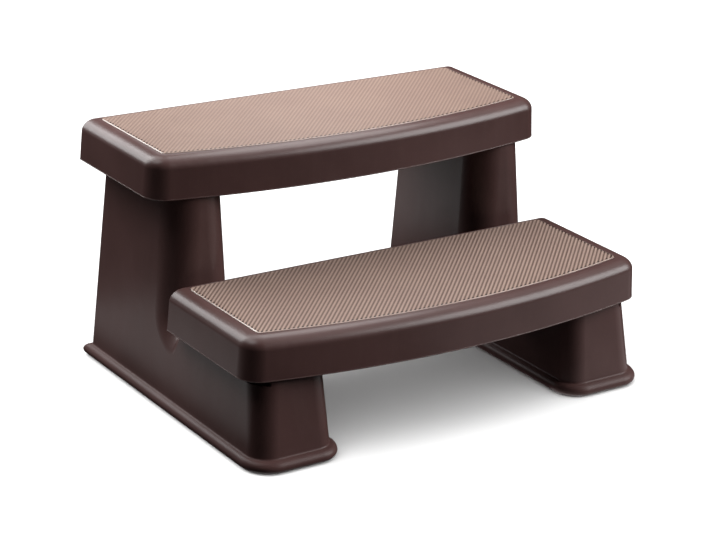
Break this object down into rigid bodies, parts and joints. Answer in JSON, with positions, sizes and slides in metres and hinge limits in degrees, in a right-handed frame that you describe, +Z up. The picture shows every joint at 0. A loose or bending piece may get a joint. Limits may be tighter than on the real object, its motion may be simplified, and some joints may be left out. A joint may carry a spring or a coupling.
{
  "type": "spa steps",
  "caption": "Moulded resin two-tread steps for a portable spa: bowed treads with woven-texture anti-slip pads on two hollow L-shaped legs with rolled base flanges.",
  "frame": {"origin": "on the floor, in the middle of the footprint's bounding box", "axes": "+Z up, +Y from the lower tread at the front to the upper tread at the back, +X to the right of someone facing the steps"},
  "size_m": [0.8148, 0.612, 0.4325],
  "materials": {
    "resin": "satin moulded plastic, dark chocolate brown",
    "pad": "taupe anti-slip inlay with a diagonal woven texture",
    "screw": "zinc-plated steel"
  },
  "bodies": {
    "root": {"leg_left": "resin", "leg_right": "resin", "tread_lower": "resin", "tread_upper": "resin", "tread_pad_lower": "pad", "tread_pad_upper": "pad", "tread_screw_lower_left_rear": "screw", "tread_screw_lower_left_front": "screw", "tread_screw_lower_right_rear": "screw", "tread_screw_lower_right_front": "screw", "tread_screw_upper_left_rear": "screw", "tread_screw_upper_left_front": "screw", "tread_screw_upper_right_rear": "screw", "tread_screw_upper_right_front": "screw"}
  },
  "joints": []
}
